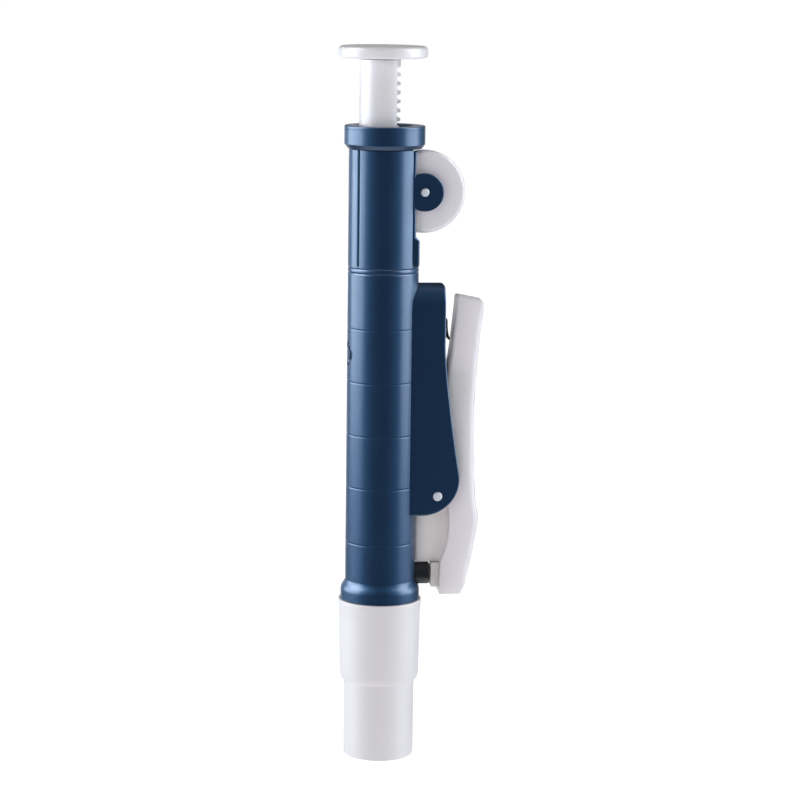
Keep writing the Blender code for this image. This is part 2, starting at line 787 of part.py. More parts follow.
def make_vent_pad(material, pivot):
    """The soft pad on the lever's foot that closes the vent nipple."""
    half_y, half_z = VENT_PAD_HALF
    pad = box(
        "vent_pad",
        (PAD_FACE_X, -half_y, VENT_Z - half_z),
        (PAD_BACK_X, half_y, VENT_Z + half_z),
    )
    return finish_part(pad, material, pivot)


def make_spring(material):
    """The compression spring between the bracket's floor and the lever's thumb end."""
    start, end = SPRING_X
    per_turn = 14
    count = SPRING_TURNS * per_turn + 1
    curve = bpy.data.curves.new("lever_spring", "CURVE")
    curve.dimensions = "3D"
    curve.bevel_depth = SPRING_WIRE_R
    curve.bevel_resolution = 2
    curve.use_fill_caps = True
    spline = curve.splines.new("POLY")
    spline.points.add(count - 1)
    for i, point in enumerate(spline.points):
        t = i / (count - 1)
        angle = 2 * math.pi * SPRING_TURNS * t
        x = start + (end - start) * t
        point.co = (x, SPRING_COIL_R * math.sin(angle), SPRING_Z + SPRING_COIL_R * math.cos(angle), 1)
    return finish_part(solid_from_curve("lever_spring", curve), material)


# ---------------------------------------------------------------------------- chuck


def make_chuck(material):
    """The two-step chuck that is pushed onto the barrel's spigot."""
    shoulder_top, shoulder_bottom = CHUCK_STEP_Z
    ledge_bottom, ledge_top = CHUCK_LEDGE_Z
    socket_r = SPIGOT_R + GAP
    edge = 0.4 * MM
    step = CHUCK_UPPER_R[1] - CHUCK_LOWER_R
    shoulder = [
        (
            CHUCK_LOWER_R + step * math.cos(a),
            shoulder_top - (shoulder_top - shoulder_bottom) * math.sin(a),
        )
        for a in (math.pi / 2 * i / 4 for i in range(5))
    ]
    profile = [
        (CHUCK_TOP_R - edge, CHUCK_TOP_Z),
        (CHUCK_TOP_R, CHUCK_TOP_Z - edge),
        (CHUCK_TOP_R - 0.05 * MM, CHUCK_LIP_Z + 0.2 * MM),
        (CHUCK_UPPER_R[0], CHUCK_LIP_Z),
        *shoulder,
        (CHUCK_LOWER_R - 0.05 * MM, edge),
        (CHUCK_LOWER_R - edge, 0),
        (CHUCK_BORE_R, 0),
        (CHUCK_BORE_R, ledge_bottom),
        (AIR_HOLE_R, ledge_bottom),
        (AIR_HOLE_R, ledge_top),
        (socket_r, ledge_top),
        (socket_r, CHUCK_TOP_Z),
    ]
    return finish_part(turned("chuck_shell", profile, closed=True), material)


def make_sleeve(material):
    """The soft tapered sleeve inside the chuck that grips the pipette."""
    bottom, top = SLEEVE_Z
    mouth_r, end_r = SLEEVE_BORE_R
    profile = [
        (SLEEVE_R, top),
        (SLEEVE_R, bottom),
        (mouth_r + 0.5 * MM, bottom),
        (mouth_r, bottom + 0.8 * MM),
        (end_r, top),
    ]
    return finish_part(turned("chuck_sleeve", profile, SMALL_STEPS, closed=True), material)


def make_pump():
    """Build every part of the pump."""
    blue = make_material("blue_plastic", (0.022, 0.062, 0.135), 0.28)
    white = make_material("white_plastic", (0.78, 0.77, 0.80), 0.32)
    wheel_white = make_material("wheel_plastic", (0.80, 0.79, 0.82), 0.35)
    chuck_white = make_material("chuck_plastic", (0.82, 0.82, 0.85), 0.45)
    black = make_material("black_rubber", (0.006, 0.008, 0.011), 0.35)
    beige = make_material("pad_rubber", (0.52, 0.49, 0.47), 0.6)
    silicone = make_material("silicone", (0.70, 0.70, 0.70), 0.5)
    steel = make_material("steel", (0.56, 0.57, 0.6), 0.3, 1.0)
    wire = make_material("spring_steel", (0.25, 0.25, 0.27), 0.35, 1.0)

    plunger = make_empty("plunger_axis", (0, 0, 0), PUMP)
    wheel = make_empty("wheel_axis", (AXLE_X, 0, AXLE_Z), PUMP)
    lever = make_empty("lever_axis", (PIVOT_X, 0, PIVOT_Z), PUMP)

    make_barrel(blue)
    make_collar(blue)
    make_vent_nipple(black)
    make_rod(white, plunger)
    make_pad(white, plunger)
    make_piston(white, plunger)
    make_o_ring("piston_ring_lower", PISTON_GROOVES_Z[0], O_RING_R, black, plunger)
    make_o_ring("piston_ring_upper", PISTON_GROOVES_Z[1], O_RING_R, black, plunger)
    make_wheel(wheel_white, wheel)
    make_pin("wheel_axle", AXLE_R, AXLE_X, AXLE_Z, steel)
    make_pin("lever_pin", PIN_R, PIVOT_X, PIVOT_Z, steel)
    make_lever(white, lever)
    make_vent_pad(beige, lever)
    make_spring(wire)
    make_chuck(chuck_white)
    make_sleeve(silicone)
    make_o_ring("spigot_ring", SPIGOT_GROOVE_Z, O_RING_R + 0.35 * MM, black)


clear_scene()
PARTS = make_collection("pipette_pump")
CUTTERS = make_collection("cutters")
PUMP = make_empty("pump_axis", (AXIS_X, 0, 0))
make_pump()
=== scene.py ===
"""The looks of a manual pipette pump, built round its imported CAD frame.

Shapes are made in millimetres about the barrel's own axis, with the thumbwheel and lever on +X,
and show() then puts each one into the row frame.
"""

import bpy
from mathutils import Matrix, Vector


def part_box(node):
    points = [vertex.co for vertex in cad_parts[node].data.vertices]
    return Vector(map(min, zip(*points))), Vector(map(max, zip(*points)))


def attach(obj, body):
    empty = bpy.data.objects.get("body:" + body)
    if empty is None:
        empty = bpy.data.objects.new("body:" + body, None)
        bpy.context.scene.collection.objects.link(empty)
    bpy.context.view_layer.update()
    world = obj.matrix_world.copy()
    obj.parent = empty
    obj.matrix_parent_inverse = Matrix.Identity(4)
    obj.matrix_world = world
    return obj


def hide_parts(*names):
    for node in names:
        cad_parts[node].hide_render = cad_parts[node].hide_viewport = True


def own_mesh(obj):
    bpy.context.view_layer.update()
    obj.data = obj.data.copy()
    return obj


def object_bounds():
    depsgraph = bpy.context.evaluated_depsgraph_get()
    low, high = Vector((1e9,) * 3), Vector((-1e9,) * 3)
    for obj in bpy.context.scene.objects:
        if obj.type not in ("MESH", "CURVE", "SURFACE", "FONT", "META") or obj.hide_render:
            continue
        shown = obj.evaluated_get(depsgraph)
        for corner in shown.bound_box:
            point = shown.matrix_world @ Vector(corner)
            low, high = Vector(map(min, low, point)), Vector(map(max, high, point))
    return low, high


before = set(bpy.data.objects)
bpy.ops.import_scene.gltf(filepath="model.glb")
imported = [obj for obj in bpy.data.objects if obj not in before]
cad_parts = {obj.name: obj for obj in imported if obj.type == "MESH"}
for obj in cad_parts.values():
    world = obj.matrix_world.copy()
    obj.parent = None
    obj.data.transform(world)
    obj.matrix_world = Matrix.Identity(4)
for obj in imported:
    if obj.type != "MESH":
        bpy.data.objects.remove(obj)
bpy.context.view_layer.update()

import math

import bmesh
import bpy
from mathutils import Matrix, Vector

MM = 0.001
OFF_SEAM = 0.02  # a small turn, which keeps a round cutter's corners off its neighbours' corners
AXIS_X = sum(corner.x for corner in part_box("chuck_shell")) / 2


def span(node):
    """A CAD node's lowest and highest corner, in millimetres about the barrel's axis."""
    return [Vector(((p.x - AXIS_X) / MM, p.y / MM, p.z / MM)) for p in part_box(node)]


def middle(node):
    """The middle of a CAD node's box, in millimetres about the barrel's axis."""
    low, high = span(node)
    return (low + high) / 2


# ------------------------------------------------------------------ sizes, in millimetres

BARREL_R = 7.88
BORE_R = 6.2
BORE_FLOOR_Z = 45.0
SHOULDER_Z = 137.2
NECK_R = 7.0
NECK_TOP_Z = 141.0
GROOVE = ((0, 0.3), (0.02, 0.22), (0.11, 0.12), (0.17, 0), (0.11, -0.12), (0.02, -0.22), (0, -0.3))
DEEP_GROOVE = 0.9  # the two grooves below the wheel, as a share of GROOVE's depth
SHALLOW_GROOVE = 0.32
RING_GROOVES_Z = (111.1, 110.1, 97.7, 85.8, 73.9, 62.1, 49.4)
FOOT_R = 8.88
FOOT_BOTTOM_Z = 36.3
FOOT_TOP_Z = 40.6
SPIGOT_R = 6.3
SPIGOT_BOTTOM_Z = 25.0
SPIGOT_GROOVE_R = 5.35
SPIGOT_GROOVE_HALF = 0.6
SPIGOT_GROOVE_Z = middle("spigot_ring").z
AIR_HOLE_R = 2.0
SIDE_HALF = span("wheel_axle")[1].y
WHEEL_BLOCK_X = 6.75
STEP_BLOCK_X = 7.55
BLOCK_Z = (111.6, 117.6, 136.9)
BLOCK_ROOT_X = 3.0  # the blocks and the bracket start here, inside the barrel's wall
BLOCK_FLAT_X = 5.9  # the barrel's round front is cut back to here under the block
LUG_R = 4.2
AXLE = middle("wheel_axle")
AXLE_R = (span("wheel_axle")[1].x - span("wheel_axle")[0].x) / 2
PIVOT = middle("lever_pin")
PIN_R = (span("lever_pin")[1].x - span("lever_pin")[0].x) / 2
BRACKET_X = 13.62
BRACKET_TOP_Z = 107.6
BRACKET_BELLY = 3.5
BELLY_TOP_Z = 94.0
LOBE = (8.86, 64.1)
LOBE_R = 8.3
ARCH_Z = 102.6
ARCH_RISE = BRACKET_TOP_Z - ARCH_Z
CHEEK = 1.4
CHANNEL_X = 8.15
ROD_X = -0.19
ROD_R = 5.55
PITCH = 1.95
TEETH = 18
PITCH_R = TEETH * PITCH / (2 * math.pi)
RACK_X = AXLE.x - PITCH_R
PRESSURE_ANGLE = math.radians(20)
ADDENDUM = 0.4
DEDENDUM = 0.5
HALF_BACKLASH = 0.06
PIN_FIT = 0.08
WHEEL_R = (span("thumbwheel")[1].x - span("thumbwheel")[0].x) / 2
WHEEL_FAR_Y = -0.4  # the disc's side towards the pinion
WINDOW_HALF = 4.0
WINDOW_CLEARANCE = 0.3
RACK_TEETH_BELOW = 23
RACK_TEETH_ABOVE = 14
RACK_BOTTOM_Z = AXLE.z - (RACK_TEETH_BELOW + 0.75) * PITCH
SLOT_Z = (78.4, 152.0)
SLOT_FLOOR_X = -1.15
SLOT_WALL_X = 2.15
RACK_Y = -0.1  # the rack's side towards the slot
SEAM_ANGLE = math.radians(139.5)
SEAM_BOTTOM_Z = 111.7
SPRING_Z = 96.0
DIMPLE_Z = 92.0
DIMPLE_DEPTH = 0.45
DIMPLE_TURN = math.radians(9)  # from -X towards -Y
VENT_Z = middle("vent_nipple").z
NIPPLE_SHOULDER_X = 7.1
NIPPLE_STEM_R = 1.4
# the box where the lever's web gets a painted warm glow, standing in for light shining through it
PAINTED_WEB_GLOW_BOX = ((8, -1.4, 44), (15.3, 1.4, 57))  # holds the part of the lever's web that shows


# ------------------------------------------------------------------ shape helpers


def rounded(points, closed=False, steps=5):
    """A line of (x, z) or (x, z, radius) points, with an arc at each corner that has a radius."""
    line = []
    count = len(points)
    for i, point in enumerate(points):
        here = Vector(point[:2])
        radius = point[2] if len(point) > 2 else 0.0
        if radius <= 0 or (not closed and i in (0, count - 1)):
            line.append(tuple(here))
            continue
        before = Vector(points[i - 1][:2]) - here
        after = Vector(points[(i + 1) % count][:2]) - here
        half = before.angle(after) / 2
        reach = min(radius / math.tan(half), 0.49 * before.length, 0.49 * after.length)
        start = here + before.normalized() * reach
        end = here + after.normalized() * reach
        centre = here + (before.normalized() + after.normalized()).normalized() * (
            reach / math.cos(half)
        )
        for k in range(steps + 1):
            chord = start.lerp(end, k / steps) - centre
            line.append(tuple(centre + chord.normalized() * (start - centre).length))
    return line


def smooth_line(points, steps):
    """A Catmull-Rom curve through the points."""
    padded = [points[0], *points, points[-1]]
    line = []
    for i in range(len(points) - 1):
        p0, p1, p2, p3 = (Vector(p) for p in padded[i : i + 4])
        for k in range(steps):
            t = k / steps
            bend = (2 * p0 - 5 * p1 + 4 * p2 - p3) * t**2 + (3 * p1 - p0 - 3 * p2 + p3) * t**3
            line.append(tuple(0.5 * (2 * p1 + (p2 - p0) * t + bend)))
    line.append(tuple(points[-1]))
    return line


def arc(centre, radius, start, end, steps):
    """Points on an arc, in degrees anticlockwise from the first axis."""
    angles = [math.radians(start + (end - start) * i / steps) for i in range(steps + 1)]
    return [(centre[0] + radius * math.cos(a), centre[1] + radius * math.sin(a)) for a in angles]


def solid(shape):
    """Weld a bmesh, turn its faces outwards and make it an object."""
    bmesh.ops.remove_doubles(shape, verts=shape.verts, dist=0.0005)
    bmesh.ops.recalc_face_normals(shape, faces=shape.faces)
    mesh = bpy.data.meshes.new("shape")
    shape.to_mesh(mesh)
    shape.free()
    obj = bpy.data.objects.new("shape", mesh)
    bpy.context.scene.collection.objects.link(obj)
    return obj


def stack(rows, closed, cap=False):
    """Join rows of points with quads.

    closed also joins the last row to the first, and cap fills both ends."""
    shape = bmesh.new()
    rings = [[shape.verts.new(p) for p in row] for row in rows]
    pairs = list(zip(rings, rings[1:])) + ([(rings[-1], rings[0])] if closed else [])
    for one, other in pairs:
        for i in range(len(one)):
            j = (i + 1) % len(one)
            shape.faces.new((one[i], one[j], other[j], other[i]))
    if cap:
        shape.faces.new(rings[0])
        shape.faces.new(rings[-1])
    return shape


def lathe(profile, segments=96, closed=False, turn=0.0, at=(0, 0, 0), axis="Z"):
    """Turn a profile of (radius, height) points about an axis."""
    rows = []
    for radius, height in profile:
        angles = [2 * math.pi * i / segments + turn for i in range(segments)]
        rows.append([(radius * math.cos(a), radius * math.sin(a), height) for a in angles])
    shape = stack(rows, closed)
    bmesh.ops.dissolve_degenerate(shape, dist=0.0005, edges=shape.edges)
    tilt = {
        "Z": Matrix.Identity(4),
        "X": Matrix.Rotation(math.pi / 2, 4, "Y"),
        "-X": Matrix.Rotation(-math.pi / 2, 4, "Y"),
        "Y": Matrix.Rotation(-math.pi / 2, 4, "X"),
    }[axis]
    bmesh.ops.transform(shape, matrix=Matrix.Translation(at) @ tilt, verts=shape.verts)
    return solid(shape)


def slab(outline, near, far, radius=0.0, steps=4):
    """A closed (x, z) outline that fills y from near to far, with rounded rims.

    radius is one number, or a function of (x, z)."""
    points = [Vector(p) for p in outline]
    count = len(points)
    area = sum(points[i - 1].x * p.y - p.x * points[i - 1].y for i, p in enumerate(points))
    side = 1 if area > 0 else -1
    inward = []
    for i, p in enumerate(points):
        one = (p - points[i - 1]).normalized()
        two = (points[(i + 1) % count] - p).normalized()
        normals = [Vector((-e.y, e.x)) * side for e in (one, two)]
        mean = (normals[0] + normals[1]).normalized()
        inward.append(mean / max(0.6, mean.dot(normals[0])))
    radii = [radius(p.x, p.y) if callable(radius) else radius for p in points]
    rings = []
    turns = [math.pi / 2 * (1 - k / steps) for k in range(steps + 1)] if max(radii) > 0 else [0]
    for a in turns:
        rings.append((1 - math.cos(a), near, 1 - math.sin(a)))
    for a in reversed(turns):
        rings.append((1 - math.cos(a), far, math.sin(a) - 1))
    rows = []
    for inset, y, shift in rings:
        row = []
        for p, n, r in zip(points, inward, radii):
            q = p + n * (inset * r)
            row.append((q.x, y + shift * r, q.y))
        rows.append(row)
    return solid(stack(rows, closed=False, cap=True))


def beam(outline, start, end, radius=0.0):
    """A closed (y, z) outline that fills x from start to end."""
    obj = slab(outline, start, end, radius)
    obj.data.transform(Matrix(((0, 1, 0, 0), (1, 0, 0, 0), (0, 0, 1, 0), (0, 0, 0, 1))))
    obj.data.flip_normals()
    return obj


def block(low, high):
    """A plain box, used as a cutter."""
    outline = [(low[0], low[2]), (high[0], low[2]), (high[0], high[2]), (low[0], high[2])]
    return slab(outline, low[1], high[1])


def rod(radius, x, z, half, edge=0.0, segments=64):
    """A round pin along Y, with rounded ends."""
    profile = [(0, half), (radius, half, edge), (radius, -half, edge), (0, -half)]
    return lathe(rounded(profile), segments, at=(x, 0, z), axis="Y")


def combine(obj, operation, tools):
    """Join tools to an object, or cut it with them, one after the other."""
    for tool in tools:
        modifier = obj.modifiers.new("combine", "BOOLEAN")
        modifier.operation = operation
        modifier.solver = "EXACT"
        modifier.object = tool
        graph = bpy.context.evaluated_depsgraph_get()
        mesh = bpy.data.meshes.new_from_object(obj.evaluated_get(graph))
        obj.modifiers.clear()
        obj.data = mesh
        bpy.data.objects.remove(tool)
    return obj


def cut(obj, *tools):
    """Cut tools out of an object."""
    return combine(obj, "DIFFERENCE", tools)


def join(obj, *tools):
    """Join tools to an object."""
    return combine(obj, "UNION", tools)


def show(obj, name, material, body, slot, *nodes, sharp=32):
    """Put a finished shape into the row frame, as a piece that rides on a body."""
    obj.name = name
    obj.data.name = name
    shape = bmesh.new()
    shape.from_mesh(obj.data)
    bmesh.ops.remove_doubles(shape, verts=shape.verts, dist=0.002)
    bmesh.ops.dissolve_degenerate(shape, dist=0.001, edges=shape.edges)
    shape.to_mesh(obj.data)
    shape.free()
    obj.data.transform(Matrix.Translation((AXIS_X, 0, 0)) @ Matrix.Scale(MM, 4))
    obj.data.materials.clear()
    obj.data.materials.append(material)
    obj.data.shade_smooth()
    obj.data.set_sharp_from_angle(angle=math.radians(sharp))
    normals = obj.modifiers.new("Normals", "WEIGHTED_NORMAL")
    normals.keep_sharp = True
    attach(obj, body)
    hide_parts(*nodes)
    return obj


# ------------------------------------------------------------------ materials


class Paint:
    """A Principled material whose colour, roughness and bump come from nodes."""

    def __init__(self, name, roughness, **sockets):
        self.material = bpy.data.materials.new(name)
        self.material.use_nodes = True
        self.tree = self.material.node_tree
        self.shader = self.tree.nodes["Principled BSDF"]
        self.shader.inputs["Roughness"].default_value = roughness
        for socket, value in sockets.items():
            self.shader.inputs[socket.replace("_", " ")].default_value = value
        self.place = self.node("ShaderNodeTexCoord").outputs["Object"]
        self.height = None

    def node(self, kind, **values):
        """A node with its sockets set; a value that is an output is linked."""
        node = self.tree.nodes.new(kind)
        for key, value in values.items():
            socket = node.inputs[int(key[1:])] if key[0] == "_" else node.inputs[key]
            if isinstance(value, bpy.types.NodeSocket):
                self.tree.links.new(value, socket)
            else:
                socket.default_value = value
        return node

    def noise(self, scale, detail=2.0, stretch=(1, 1, 1)):
        """Noise, with a scale in features per metre."""
        mapping = self.node("ShaderNodeMapping", Vector=self.place, Scale=stretch)
        return self.node(
            "ShaderNodeTexNoise", Vector=mapping.outputs[0], Scale=scale, Detail=detail
        ).outputs[0]

    def fit(self, value, low, high, new_low, new_high):
        """Map a value from one range to another, held at its ends."""
        node = self.node("ShaderNodeMapRange", _0=value, _1=low, _2=high, _3=new_low, _4=new_high)
        return node.outputs[0]

    def blend(self, share, one, two):
        """A colour between two colours."""
        node = self.tree.nodes.new("ShaderNodeMix")
        node.data_type = "RGBA"
        for index, value in ((0, share), (6, one), (7, two)):
            if isinstance(value, bpy.types.NodeSocket):
                self.tree.links.new(value, node.inputs[index])
            else:
                node.inputs[index].default_value = value if index == 0 else (*value, 1.0)
        return node.outputs[2]

    def within(self, low, high):
        """1 inside a box in millimetres about the barrel's axis, and 0 outside it."""
        parts = self.node("ShaderNodeSeparateXYZ", Vector=self.place).outputs
        share = None
        for i, shift in enumerate((AXIS_X, 0, 0)):
            a, b, soft = low[i] * MM + shift, high[i] * MM + shift, 0.1 * MM
            for part in (
                self.fit(parts[i], a - soft, a + soft, 0, 1),
                self.fit(parts[i], b - soft, b + soft, 1, 0),
            ):
                if share is None:
                    share = part
                    continue
                node = self.node("ShaderNodeMath", _0=share, _1=part)
                node.operation = "MULTIPLY"
                share = node.outputs[0]
        return share

    def colour(self, output):
        self.tree.links.new(output, self.shader.inputs["Base Color"])

    def rough(self, output):
        self.tree.links.new(output, self.shader.inputs["Roughness"])

    def bump(self, value, depth, strength=1.0):
        """Add relief of that depth in metres."""
        node = self.node("ShaderNodeBump", Height=value, Distance=depth, Strength=strength)
        if self.height is not None:
            self.tree.links.new(self.height, node.inputs["Normal"])
        self.height = node.outputs[0]
        self.tree.links.new(self.height, self.shader.inputs["Normal"])


def tint(colour, share):
    """A colour made lighter or darker by a share of itself."""
    return tuple(c * share for c in colour)


def moulded(name, colour, roughness, grain=0.00002, spread=0.07, web=None, **sockets):
    """Moulded plastic: faint flow marks in its colour, fine matt grain and slight rubs.

    web is a painted warm glow on the lever's thin web, a colour that stands in for light from
    behind shining through it."""
    paint = Paint(name, roughness, **sockets)
    flow = paint.fit(paint.noise(70, 3, (1, 1, 0.25)), 0.3, 0.7, 0, 1)
    fine = paint.fit(paint.noise(2600, 2), 0.3, 0.7, 0, 1)
    base = paint.blend(flow, tint(colour, 1 - spread), tint(colour, 1 + spread))
    speck = paint.blend(fine, tint(colour, 1 - 2 * spread), tint(colour, 1 + 2 * spread))
    mixed = paint.blend(0.35, base, speck)
    if web:
        # painted warm glow: inside the box the colour is warmed to stand in for light shining
        # through the thin web
        mixed = paint.blend(paint.within(*PAINTED_WEB_GLOW_BOX), mixed, web)
    paint.colour(mixed)
    rub = paint.noise(110, 2)
    paint.rough(paint.fit(rub, 0.3, 0.75, roughness - 0.03, roughness + 0.06))
    paint.bump(paint.noise(3200, 2), grain, 0.5)
    return paint.material


def rubber(name, colour, roughness, **sockets):
    """Rubber: matt, slightly mottled, with a fine dusty bloom."""
    paint = Paint(name, roughness, **sockets)
    bloom = paint.fit(paint.noise(900, 4), 0.45, 0.75, 0, 1)
    paint.colour(paint.blend(bloom, tint(colour, 0.9), tint(colour, 1.35)))
    paint.rough(paint.fit(paint.noise(500, 3), 0.3, 0.7, roughness - 0.08, roughness + 0.1))
    paint.bump(paint.noise(2400, 3), 0.00004, 0.6)
    return paint.material


def metal(name, colour, roughness, metallic, grain_stretch):
    """Drawn steel: fine lines along its length and small changes of polish."""
    paint = Paint(name, roughness, Metallic=metallic)
    lines = paint.noise(2200, 3, grain_stretch)
    paint.colour(paint.blend(lines, tint(colour, 0.85), tint(colour, 1.1)))
    paint.rough(paint.fit(paint.noise(700, 3), 0.3, 0.7, roughness - 0.06, roughness + 0.1))
    paint.bump(lines, 0.00001, 0.5)
    return paint.material


BLUE = moulded(
    "blue_moulding",
    (0.0050, 0.0145, 0.040),
    0.5,
    grain=0.00003,
    spread=0.1,
    IOR=1.82,
    Specular_Tint=(0.10, 0.45, 1.0, 1.0),
    Coat_Weight=0.72,
    Coat_Roughness=0.27,
    Coat_IOR=1.5,
)
WHITE = moulded(
    "white_moulding",
    (0.85, 0.82, 0.85),
    0.33,
    spread=0.012,
    IOR=1.49,
    Subsurface_Weight=0.3,
    Subsurface_Radius=(0.004, 0.0035, 0.0035),
    Subsurface_Scale=1.0,
)
LEVER = moulded(
    "lever_moulding",
    (0.80, 0.76, 0.80),
    0.36,
    spread=0.012,
    # a painted warm glow for the lever's thin web, standing in for light from behind
    web=(0.90, 0.84, 0.84),
    IOR=1.49,
    Subsurface_Weight=0.65,
    Subsurface_Radius=(0.006, 0.0055, 0.0055),
    Subsurface_Scale=1.0,
)
WHEEL = moulded(
    "wheel_moulding",
    (0.82, 0.79, 0.84),
    0.36,
    spread=0.015,
    IOR=1.49,
    Subsurface_Weight=0.4,
    Subsurface_Radius=(0.004, 0.0035, 0.004),
    Subsurface_Scale=1.0,
)
CHUCK = moulded(
    "chuck_moulding", (0.75, 0.72, 0.745), 0.46, grain=0.00003, spread=0.012, IOR=1.48
)
BLACK = rubber("black_rubber", (0.008, 0.011, 0.014), 0.42)
TAN = moulded(
    "pad_rubber",
    (0.78, 0.735, 0.72),
    0.6,
    spread=0.02,
    Subsurface_Weight=0.5,
    Subsurface_Radius=(0.003, 0.003, 0.003),
    Subsurface_Scale=1.0,
)
SILICONE = rubber(
    "clear_silicone",
    (0.62, 0.62, 0.62),
    0.5,
    Subsurface_Weight=0.5,
    Subsurface_Radius=(0.004, 0.004, 0.004),
    Subsurface_Scale=1.0,
)
STEEL = metal("plated_steel", (0.78, 0.82, 0.90), 0.48, 0.35, (1, 0.05, 1))
WIRE = metal("spring_wire", (0.20, 0.20, 0.22), 0.35, 1.0, (1, 1, 1))


# ------------------------------------------------------------------ barrel


def tube_profile():
    """The barrel's outside, from its top down, with its ring grooves and its flared foot."""
    top = [(0, NECK_TOP_Z), (NECK_R, NECK_TOP_Z, 0.3), (NECK_R, SHOULDER_Z + 0.05)]
    line = rounded([*top, (BARREL_R, SHOULDER_Z, 0.12), (BARREL_R, SHOULDER_Z - 1)], steps=3)[:-1]
    for z in RING_GROOVES_Z:
        deep = DEEP_GROOVE if z > BRACKET_TOP_Z else SHALLOW_GROOVE
        line += [(BARREL_R - deep * depth, z + dz) for depth, dz in GROOVE]
    flare = smooth_line([(0, 0.5), (0, 0), (0.25, -0.6), (0.7, -1.3), (0.95, -1.9), (1, -2.5)], 4)
    line += [(BARREL_R + (FOOT_R - BARREL_R) * a, FOOT_TOP_Z + b) for a, b in flare]
    groove_top = SPIGOT_GROOVE_Z + SPIGOT_GROOVE_HALF
    groove_bottom = SPIGOT_GROOVE_Z - SPIGOT_GROOVE_HALF
    foot = [
        (FOOT_R, FOOT_TOP_Z - 2.6),
        (FOOT_R, FOOT_BOTTOM_Z, 0.06),
        (SPIGOT_R, FOOT_BOTTOM_Z),
        (SPIGOT_R, groove_top),
        (SPIGOT_GROOVE_R, groove_top),
        (SPIGOT_GROOVE_R, groove_bottom),
        (SPIGOT_R, groove_bottom),
        (SPIGOT_R, SPIGOT_BOTTOM_Z, 0.5),
        (0, SPIGOT_BOTTOM_Z),
    ]
    return line + rounded(foot)


def wheel_block():
    """The flat-fronted block round the wheel's window, with the round lug for its axle."""
    bottom, step, top = BLOCK_Z
    lug = arc((AXLE.x, AXLE.z), LUG_R, 117, -117, 36)
    outline = [
        (BLOCK_ROOT_X, top),
        (WHEEL_BLOCK_X, top),
        *lug,
        (WHEEL_BLOCK_X, step + 0.6),
        *rounded(
            [
                (WHEEL_BLOCK_X, step + 0.5),
                (STEP_BLOCK_X, step - 0.2, 0.5),
                (STEP_BLOCK_X, bottom, 0.5),
                (STEP_BLOCK_X - 1, bottom),
            ]
        )[1:-1],
        (BLOCK_ROOT_X, bottom),
    ]

    def rim(x, z):
        if x < BLOCK_ROOT_X + 0.1:
            return 0.3
        if x < WHEEL_BLOCK_X + 0.1:
            return 0.55
        return 0.32 if z > step + 1 else 0.45

    return slab(outline, -SIDE_HALF, SIDE_HALF, rim)


def bracket_body():
    """The lever bracket's outside: flat cheeks with a rounded front, arched over at the top."""
    rim, corner, back = 0.42, 0.9, BLOCK_ROOT_X
    rows = []

    def row(x, z, normal, half):
        edge = min(rim, 0.8 * half)
        turns = [math.pi / 2 * (1 - k / 4) for k in range(5)]
        near = []
        for a in turns:
            inset = edge * (1 - math.cos(a))
            y = -(half - edge * (1 - math.sin(a)))
            near.append((max(back, x - normal[0] * inset), y, z - normal[1] * inset))
        loop = [(back, -half, near[0][2]), *near]
        rows.append(loop + [(p[0], -p[1], p[2]) for p in reversed(loop)])

    for k in range(15, -1, -1):
        a = math.pi / 2 * k / 15
        z = ARCH_Z + ARCH_RISE * math.sin(a)
        over = max(0.0, z - (BRACKET_TOP_Z - corner))
        x = BRACKET_X - corner + math.sqrt(max(0.0, corner**2 - over**2))
        row(x, z, (1, 0), max(0.02, SIDE_HALF * math.cos(a)))
    row(BRACKET_X, BELLY_TOP_Z + 3, (1, 0), SIDE_HALF)
    low = LOBE[1] + 0.9
    for k in range(19):
        t = k / 18
        x = BRACKET_X + BRACKET_BELLY * t**1.35
        row(x, BELLY_TOP_Z + (low - BELLY_TOP_Z) * t, (1, 0), SIDE_HALF)
    for k in range(25):
        a = math.pi / 2 * k / 24
        normal = (math.cos(a), -math.sin(a))
        row(LOBE[0] + LOBE_R * normal[0], LOBE[1] + LOBE_R * normal[1], normal, SIDE_HALF)
    row(back, LOBE[1] - LOBE_R, (0, -1), SIDE_HALF)
    return solid(stack(rows, closed=False, cap=True))


def channel():
    """The hollow between the bracket's cheeks, arched over at the top."""
    half = SIDE_HALF - CHEEK
    arch = [
        (half * math.cos(a), ARCH_Z + (ARCH_RISE - CHEEK) * math.sin(a))
        for a in (math.pi * i / 28 for i in range(29))
    ]
    return beam([(-half, 50), (half, 50), *arch], CHANNEL_X, 25)


def seam(side):
    """A cutter for one of the two mould seams beside the wheel's window."""
    outline = [(0.3, 0.12), (0.17, 0.18), (0.07, 0.34), (0.02, 0.6), (-0.01, 0.85), (-1, 0.85)]
    points = [(BARREL_R - depth, half) for depth, half in outline]
    points += [(x, -half) for x, half in reversed(points)]
    rows = [[(x, y, z) for x, y in points] for z in (SEAM_BOTTOM_Z, SHOULDER_Z + 2)]
    shape = solid(stack(rows, closed=False, cap=True))
    shape.data.transform(Matrix.Rotation(side * SEAM_ANGLE, 4, "Z"))
    return shape


def dimple():
    """A cutter for the plain round mark on the barrel's -X side."""
    face = BARREL_R + 1
    floor = BARREL_R - DIMPLE_DEPTH
    profile = [(2.8, face), (2.55, floor, 0.2), (1.5, floor, 0.15), (1.3, face)]
    shape = lathe(rounded(profile), 64, closed=True, at=(0, 0, DIMPLE_Z), axis="-X")
    shape.data.transform(Matrix.Rotation(DIMPLE_TURN, 4, "Z"))
    return shape


def spring_boss():
    """The round boss that the lever's spring sits on."""
    tip, radius = 9.55, 1.9
    profile = [(0, tip), (radius, tip, 0.3), (radius, 3), (0, 3)]
    return lathe(rounded(profile), 48, at=(0, 0, SPRING_Z), axis="X")


